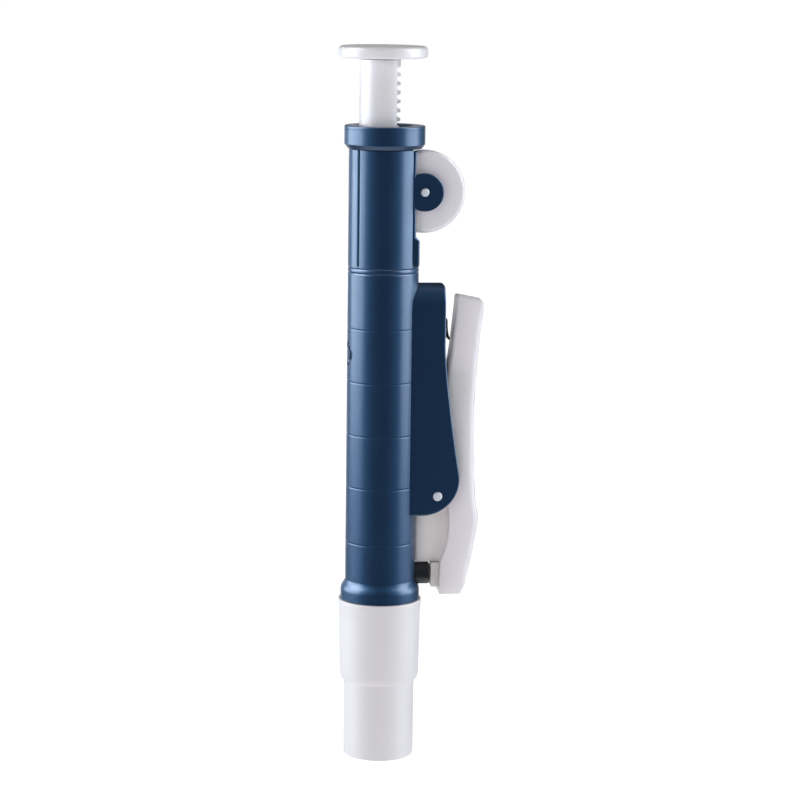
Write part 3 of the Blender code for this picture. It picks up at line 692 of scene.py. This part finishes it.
def vent_hole():
    """A cutter for the stepped hole that the vent nipple sits in."""
    seat_r, stem_r = 2.6, NIPPLE_STEM_R + 0.1
    mouth, seat, end = 12, NIPPLE_SHOULDER_X - 0.1, span("vent_nipple")[0].x - 1
    profile = [(0, mouth), (seat_r, mouth), (seat_r, seat), (stem_r, seat), (stem_r, end), (0, end)]
    return lathe(profile, 48, at=(0, 0, VENT_Z), axis="X")


def build_barrel():
    barrel = lathe(tube_profile(), 144)
    cut(barrel, block((BLOCK_FLAT_X, -8, BLOCK_Z[0] + 1), (9, 8, SHOULDER_Z + 1)))
    blocks = cut(wheel_block(), rod(AXLE_R + 0.05, AXLE.x, AXLE.z, 7))
    hood = cut(bracket_body(), channel(), rod(PIN_R + 0.05, PIVOT.x, PIVOT.z, 7))
    join(barrel, blocks, hood, spring_boss())
    window = WHEEL_R + WINDOW_CLEARANCE
    cut(
        barrel,
        lathe(
            [(0, 150), (BORE_R, 150), (BORE_R, BORE_FLOOR_Z), (0, BORE_FLOOR_Z)],
            96,
            turn=math.pi / 96,
        ),
        lathe([(0, 50), (AIR_HOLE_R, 50), (AIR_HOLE_R, 20), (0, 20)], 48, turn=OFF_SEAM),
        block((0, -WINDOW_HALF, AXLE.z - window), (20, WINDOW_HALF, AXLE.z + window)),
        vent_hole(),
        seam(1),
        seam(-1),
        dimple(),
    )
    show(barrel, "barrel_detail", BLUE, "pump_body", "blue_plastic", "barrel")


def build_collar():
    high = span("top_collar")[1]
    radius, top, bottom, hole = high.x, high.z, SHOULDER_Z + 0.06, 6.05
    web = NECK_TOP_Z + 0.3
    profile = [
        (radius, top, 0.22),
        (radius, top - 0.62),
        (radius - 0.05, top - 0.67),
        (radius - 0.05, top - 0.77),
        (radius, top - 0.82),
        (radius, bottom + 1.0, 0.15),
        (radius - 0.7, bottom + 0.06, 0.15),
        (NECK_R + 0.3, bottom),
        (NECK_R + 0.3, web),
        (hole, web),
        (hole, top, 0.25),
        (radius - 1.0, top),
    ]
    collar = lathe(rounded(profile, closed=True), 144, closed=True)
    show(collar, "top_collar_detail", BLUE, "pump_body", "blue_plastic", "top_collar")


# ------------------------------------------------------------------ plunger


def rack_space():
    """The space beside the rack, toothed on its left side."""
    half_space = PITCH / 4 + HALF_BACKLASH
    lean = math.tan(PRESSURE_ANGLE)
    root, tip = RACK_X - DEDENDUM, RACK_X + ADDENDUM
    line = [(8, RACK_BOTTOM_Z), (tip, RACK_BOTTOM_Z)]
    for i in range(-RACK_TEETH_BELOW, RACK_TEETH_ABOVE + 1):
        z = AXLE.z + (i - 0.5) * PITCH
        at_root, at_tip = half_space - DEDENDUM * lean, half_space + ADDENDUM * lean
        line += [(tip, z - at_tip, 0.2), (root, z - at_root, 0.14)]
        line += [(root, z + at_root, 0.14), (tip, z + at_tip, 0.2)]
    top = span("thumb_pad")[1].z
    return slab(rounded([*line, (tip, top), (8, top)], steps=3), RACK_Y, 8)


def build_rod():
    low, high = span("plunger_rod")
    profile = [(0, high.z), (ROD_R, high.z, 0.15), (ROD_R, low.z, 0.3), (0, low.z)]
    body = lathe(rounded(profile), 128, at=(ROD_X, 0, 0))
    pad_x = middle("thumb_pad").x
    hole_r, stub_end, stem_end = 2.0, high.z - 2.9, span("piston_head")[1].z + 0.3
    stub_hole = [(0, 170), (hole_r, 170), (hole_r, stub_end), (0, stub_end)]
    stem_hole = [(0, stem_end), (hole_r, stem_end), (hole_r, low.z - 1), (0, low.z - 1)]
    cut(
        body,
        rack_space(),
        block((SLOT_WALL_X, -9, RACK_BOTTOM_Z), (9, RACK_Y, 170)),
        block((SLOT_FLOOR_X, -3.5, SLOT_Z[0]), (9, RACK_Y, SLOT_Z[1])),
        lathe(stub_hole, 48, at=(pad_x, 0, 0)),
        lathe(stem_hole, 48, turn=1.5 * OFF_SEAM),
    )
    show(body, "plunger_rod_detail", WHITE, "plunger", "white_plastic", "plunger_rod")


def build_pad():
    low, high = span("thumb_pad")
    radius, x = (high.x - low.x) / 2, (high.x + low.x) / 2
    bottom, stub_r = 157.0, 1.7
    profile = [
        (0, high.z),
        (radius, high.z, 1.0),
        (radius, bottom, 0.5),
        (stub_r, bottom, 0.15),
        (stub_r, low.z, 0.2),
        (0, low.z),
    ]
    pad = lathe(rounded(profile, steps=8), 144, at=(x, 0, 0))
    show(pad, "thumb_pad_detail", WHITE, "plunger", "white_plastic", "thumb_pad")


# ------------------------------------------------------------------ wheel


def pinion():
    """An involute pinion about the wheel's axle, in mesh with the rack."""
    base, tip, root = PITCH_R * math.cos(PRESSURE_ANGLE), PITCH_R + ADDENDUM, PITCH_R - DEDENDUM
    involute = math.tan(PRESSURE_ANGLE) - PRESSURE_ANGLE
    half_tooth = math.pi / 2 / TEETH - HALF_BACKLASH / PITCH_R
    outline = []
    for i in range(TEETH):
        centre = math.pi + (i + 0.5) * 2 * math.pi / TEETH
        flank = []
        for r in (root, root + 0.25, PITCH_R, tip - 0.2, tip):
            lean = math.acos(min(1.0, base / r))
            flank.append((r, half_tooth + involute - (math.tan(lean) - lean)))
        for r, a in [(r, centre - a) for r, a in flank] + [(r, centre + a) for r, a in flank[::-1]]:
            outline.append((AXLE.x + r * math.cos(a), AXLE.z + r * math.sin(a)))
    return outline


def build_wheel():
    low, high = span("thumbwheel")
    near, far = low.y, WHEEL_FAR_Y
    profile = [(0, near), (WHEEL_R, near, 0.95), (WHEEL_R, far, 0.9), (0, far)]
    wheel = lathe(rounded(profile, steps=7), 144, at=(AXLE.x, 0, AXLE.z), axis="Y")
    join(wheel, slab(pinion(), (near + far) / 2, high.y, 0.1, 2))
    cut(wheel, rod(AXLE_R + PIN_FIT, AXLE.x, AXLE.z, 9))
    show(wheel, "thumbwheel_detail", WHEEL, "wheel", "wheel_plastic", "thumbwheel")


def build_pins():
    axle = rod(AXLE_R, AXLE.x, AXLE.z, SIDE_HALF + 0.1, 0.5)
    show(axle, "wheel_axle_detail", STEEL, "pump_body", "steel", "wheel_axle")
    pin = rod(PIN_R, PIVOT.x, PIVOT.z, SIDE_HALF + 0.1, 0.5)
    show(pin, "lever_pin_detail", STEEL, "pump_body", "steel", "lever_pin")


# ------------------------------------------------------------------ lever

LEVER_HALF = 3.3
HUB_R = 3.1
WEB_HALF = 1.2
WEB_Z = 44.5
POCKET_HALF = 2.2
THUMB_END_Z = 103.4  # above this the strip's rims are rounded less
FOOT_END_Z = 39.2
LEVER_OUTSIDE = (
    (22.35, 101.8), (21.75, 96.5), (20.95, 87.0), (20.55, 77.5), (20.7, 68.0),
    (21.25, 58.8), (21.85, 54.6), (21.25, 50.0), (20.2, 44.5), (18.95, 39.4),
)
LEVER_INSIDE = ((13.2, 44.5), (14.2, 47.4), (14.9, 50.9), (15.1, 55.5))
LEVER_BACK = (
    (14.0, 61.0), (13.6, 70.0), (13.7, 82.0), (14.15, 87.0), (15.1, 93.5), (15.9, 101.2),
)


def build_lever():
    outside = smooth_line(LEVER_OUTSIDE, 6)
    foot = rounded(
        [outside[-1], (17.95, 37.4, 0.7), (13.05, 37.3, 0.3), LEVER_INSIDE[0]], steps=5
    )[1:-1]
    inside = smooth_line(LEVER_INSIDE, 4)
    top = rounded([LEVER_BACK[-1], (16.3, 104.95, 0.5), (22.2, 103.85, 0.9), outside[0]], steps=5)
    outline = [*outside, *foot, *inside, *LEVER_BACK[:-1], *top[:-1]]

    def rim(x, z):
        if z > THUMB_END_Z:
            return 0.3 + 0.4 * min(1.0, max(0.0, (x - 16) / 5))
        if z < FOOT_END_Z:
            return 0.35
        if x > 17.0:
            return 0.7 + 0.85 * min(1.0, (THUMB_END_Z - z) / 3, (z - FOOT_END_Z) / 3)
        return 0.35 + 0.45 * min(1.0, max(0.0, (z - 58) / 4))

    lever = slab(outline, -LEVER_HALF, LEVER_HALF, rim, 6)
    hub = rod(HUB_R, PIVOT.x, PIVOT.z, LEVER_HALF, 0.3)
    outline = [(8.0, WEB_Z), (14.4, WEB_Z), (15.6, 48), (15.6, 61), (10.6, 61), (8.0, 56.5)]
    web = slab(outline, -WEB_HALF, WEB_HALF, 0.12)
    outline = [(11, 66.5), (18, 66.5), (18.2, 88), (11, 88)]
    pocket = slab(outline, -POCKET_HALF, POCKET_HALF)
    join(lever, hub, web)
    cut(lever, pocket, rod(PIN_R + PIN_FIT, PIVOT.x, PIVOT.z, 9))
    show(lever, "release_lever_detail", LEVER, "lever", "white_plastic", "release_lever")


def build_vent():
    low, high = span("vent_pad")
    edge = 0.2
    right, top = high.x + 0.5, WEB_Z - 0.05  # against the lever's foot, and up to its web
    outline = rounded(
        [(low.x, low.z, edge), (right, low.z, edge), (right, top, edge), (low.x, top, edge)],
        closed=True,
    )
    pad = slab(outline, low.y, high.y, 0.06)
    show(pad, "vent_pad_detail", TAN, "lever", "pad_rubber", "vent_pad")

    low, high = span("vent_nipple")
    radius, bore = high.y, 0.8
    profile = [
        (radius, high.x, 0.3),
        (radius, NIPPLE_SHOULDER_X, 0.1),
        (NIPPLE_STEM_R, NIPPLE_SHOULDER_X),
        (NIPPLE_STEM_R, low.x, 0.15),
        (bore, low.x),
        (bore, high.x, 0.2),
    ]
    nipple = lathe(rounded(profile, closed=True), 64, closed=True, at=(0, 0, VENT_Z), axis="X")
    show(nipple, "vent_nipple_detail", BLACK, "pump_body", "black_rubber", "vent_nipple")


def build_spring():
    """A slightly conical coil from the boss to the lever's thumb end, which it leans up towards."""
    low, high = span("lever_spring")
    wire, turns, sides, per_turn = 0.32, 5.5, 12, 36
    start_coil, end_coil, rise = 2.75, 2.1, 1.2
    seat_x, centre_z = 8.23, (low.z + high.z) / 2
    start, end = low.x + 0.02, high.x + 0.6
    travel = end - start - 2 * wire
    count = int(turns * per_turn)
    rows = []
    for i in range(count + 1):
        t = i / count
        x = start + wire + travel * t * (0.9 + 0.1 * t)
        a = 2 * math.pi * turns * t
        coil = start_coil + (end_coil - start_coil) * t
        out = Vector((0, math.sin(a), math.cos(a)))
        pitch = travel / (turns * 2 * math.pi * coil)
        along = Vector((pitch, math.cos(a), -math.sin(a))).normalized()
        lift = along.cross(out)
        centre = Vector((x, 0, centre_z + rise * t)) + out * coil
        ring = []
        for k in range(sides):
            b = 2 * math.pi * k / sides
            ring.append(centre + (out * math.cos(b) + lift * math.sin(b)) * wire)
        rows.append(ring)
    spring = solid(stack(rows, closed=False, cap=True))
    piece = show(
        spring, "lever_spring_detail", WIRE, "pump_body", "spring_steel", "lever_spring", sharp=60
    )
    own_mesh(piece)


# ------------------------------------------------------------------ chuck


def build_chuck():
    high = span("chuck_shell")[1]
    top = high.z + 0.2
    step_top, step_bottom = 19.5, 17.4
    step_r, step_width = 7.95, 1.0
    shoulder = [
        (step_r + step_width * math.cos(a), step_top - (step_top - step_bottom) * math.sin(a))
        for a in (math.pi / 2 * i / 10 for i in range(11))
    ]
    socket_r, hole_r, recess_r = 6.2, 2.0, 6.6
    ledge_bottom, ledge_top = 22.2, 24.6  # between the pipette's socket and the spigot's recess
    profile = [
        (high.x, top, 0.3),
        (high.x - 0.02, 35.0, 1.2),
        (9.17, 32.8, 1.2),
        *shoulder,
        (7.9, 0.0, 0.4),
        (socket_r, 0.0, 0.15),
        (socket_r, ledge_bottom),
        (hole_r, ledge_bottom),
        (hole_r, ledge_top),
        (recess_r, ledge_top),
        (recess_r, top, 0.2),
    ]
    shell = lathe(rounded(profile, closed=True), 144, closed=True)
    show(shell, "chuck_shell_detail", CHUCK, "pump_body", "chuck_plastic", "chuck_shell")

    low, high = span("chuck_sleeve")
    profile = [
        (5.9, high.z, 0.3),
        (5.9, low.z, 0.3),
        (5.0, low.z, 0.2),
        (4.6, low.z + 0.6, 0.4),
        (3.6, high.z, 0.3),
    ]
    sleeve = lathe(rounded(profile, closed=True), 96, closed=True)
    show(sleeve, "chuck_sleeve_detail", SILICONE, "pump_body", "silicone", "chuck_sleeve")


def paint_inner_nodes():
    """Give the CAD nodes that stay their finishes."""
    finishes = {
        "piston_head": WHITE,
        "piston_ring_lower": BLACK,
        "piston_ring_upper": BLACK,
        "spigot_ring": BLACK,
    }
    for name, material in finishes.items():
        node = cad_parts[name]
        node.data.materials.clear()
        node.data.materials.append(material)


# ------------------------------------------------------------------ stage, light and camera

WORLD_LIGHT = 0.06
BACKDROP_R = 4
TARGET = Vector((AXIS_X, 0, 0.085))  # what the lights face
CAMERA_AZIMUTH = -5.0
CAMERA_DISTANCE = 0.589
CAMERA_Z = 0.1809
CAMERA_PITCH = math.radians(9.6)
CAMERA_YAW = 0.0068657  # turns the view so that the pump stands slightly left of its middle
CAMERA_ROLL = -0.01252
CAMERA_LENS = 120.6


def build_stage():
    paint = Paint("floor_paper", 0.9)
    fibre = paint.noise(40, 3)
    paint.colour(paint.blend(fibre, (0.30, 0.30, 0.30), (0.33, 0.33, 0.33)))
    paint.shader.inputs["Emission Color"].default_value = (1, 1, 1, 1)
    paint.shader.inputs["Emission Strength"].default_value = 1.0
    ground_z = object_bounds()[0][2] - 0.00005
    for name in ("floor", "backdrop"):
        shape = bmesh.new()
        if name == "floor":
            bmesh.ops.create_grid(shape, x_segments=1, y_segments=1, size=30)
        else:
            bmesh.ops.create_uvsphere(shape, u_segments=48, v_segments=24, radius=BACKDROP_R)
        mesh = bpy.data.meshes.new(name)
        shape.to_mesh(mesh)
        shape.free()
        mesh.materials.append(paint.material)
        paper = bpy.data.objects.new(name, mesh)
        paper.location.z = ground_z
        paper.visible_glossy = paper.visible_diffuse = paper.visible_shadow = False
        bpy.context.scene.collection.objects.link(paper)

    world = bpy.data.worlds.new("studio")
    world.use_nodes = True
    background = world.node_tree.nodes["Background"]
    background.inputs[0].default_value = (0.93, 0.96, 1.0, 1.0)
    background.inputs[1].default_value = WORLD_LIGHT
    bpy.context.scene.world = world


def softbox(
    name, azimuth, elevation, distance, size, radiance, colour=(1, 1, 1), glossy=True, diffuse=True
):
    """A rectangular light that faces the pump. Its azimuth is from the camera's side, in degrees,
    positive to the right; radiance is what its face shows. glossy and diffuse say which of a
    surface's reflections it takes part in."""
    light = bpy.data.lights.new(name, "AREA")
    light.shape = "RECTANGLE"
    light.size, light.size_y = size
    light.energy = radiance * math.pi * size[0] * size[1]
    light.color = colour
    a, e = math.radians(azimuth + CAMERA_AZIMUTH), math.radians(elevation)
    way = Vector((math.sin(a) * math.cos(e), -math.cos(a) * math.cos(e), math.sin(e)))
    obj = bpy.data.objects.new(name, light)
    obj.location = TARGET + way * distance
    obj.rotation_euler = way.to_track_quat("Z", "Y").to_euler()
    obj.visible_glossy = glossy
    obj.visible_diffuse = diffuse
    bpy.context.scene.collection.objects.link(obj)


def build_light():
    sky = (0.87, 0.94, 1.0)
    softbox("left_box", -94, -3, 0.75, (0.84, 0.42), 5.1, sky, glossy=False)
    softbox("right_box", 86, -3, 0.8, (0.66, 0.42), 5.1, sky, glossy=False)
    softbox("left_shine", -94, 9, 0.75, (0.84, 0.5), 7.0, sky, diffuse=False)
    softbox("right_shine", 86, 6, 0.8, (0.66, 0.5), 6.2, sky, diffuse=False)
    softbox("fill_left", -42, 16, 0.9, (0.36, 0.36), 3.6, glossy=False)
    softbox("fill_right", 58, 22, 0.9, (0.34, 0.34), 4.4, glossy=False)
    softbox("front_low", -6, -28, 0.6, (0.9, 0.4), 1.1, glossy=False)
    softbox("top_box", -20, 80, 0.8, (0.6, 0.6), 1.6, glossy=False)
    softbox("floor_bounce", 0, -88, 0.5, (0.8, 0.8), 1.3)
    softbox("back_box", 182, -7, 0.9, (0.9, 0.6), 1.1)
    softbox("left_high", -90, 40, 0.8, (0.5, 0.5), 12.0, diffuse=False)
    softbox("right_high", 92, 40, 0.8, (0.5, 0.5), 9.0, diffuse=False)


def build_camera():
    a = math.radians(CAMERA_AZIMUTH)
    ahead = Vector((-math.sin(a), math.cos(a), 0))
    across = Vector((math.cos(a), math.sin(a), 0))
    level = ahead * math.cos(CAMERA_YAW) + across * math.sin(CAMERA_YAW)
    side = across * math.cos(CAMERA_YAW) - ahead * math.sin(CAMERA_YAW)
    forward = level * math.cos(CAMERA_PITCH) + Vector((0, 0, -math.sin(CAMERA_PITCH)))
    up = side.cross(forward)
    right = side * math.cos(CAMERA_ROLL) - up * math.sin(CAMERA_ROLL)
    top = up * math.cos(CAMERA_ROLL) + side * math.sin(CAMERA_ROLL)
    pose = Matrix((right, top, -forward)).transposed().to_4x4()
    pose.translation = Vector((AXIS_X, 0, CAMERA_Z)) - ahead * CAMERA_DISTANCE
    data = bpy.data.cameras.new("camera")
    data.sensor_width = 36
    data.lens = CAMERA_LENS
    data.clip_start = 0.01
    camera = bpy.data.objects.new("camera", data)
    camera.matrix_world = pose
    bpy.context.scene.collection.objects.link(camera)
    bpy.context.scene.camera = camera
    bpy.context.scene.view_settings.view_transform = "Standard"


build_barrel()
build_collar()
build_rod()
build_pad()
build_wheel()
build_pins()
build_lever()
build_vent()
build_spring()
build_chuck()
paint_inner_nodes()
build_stage()
build_light()
build_camera()
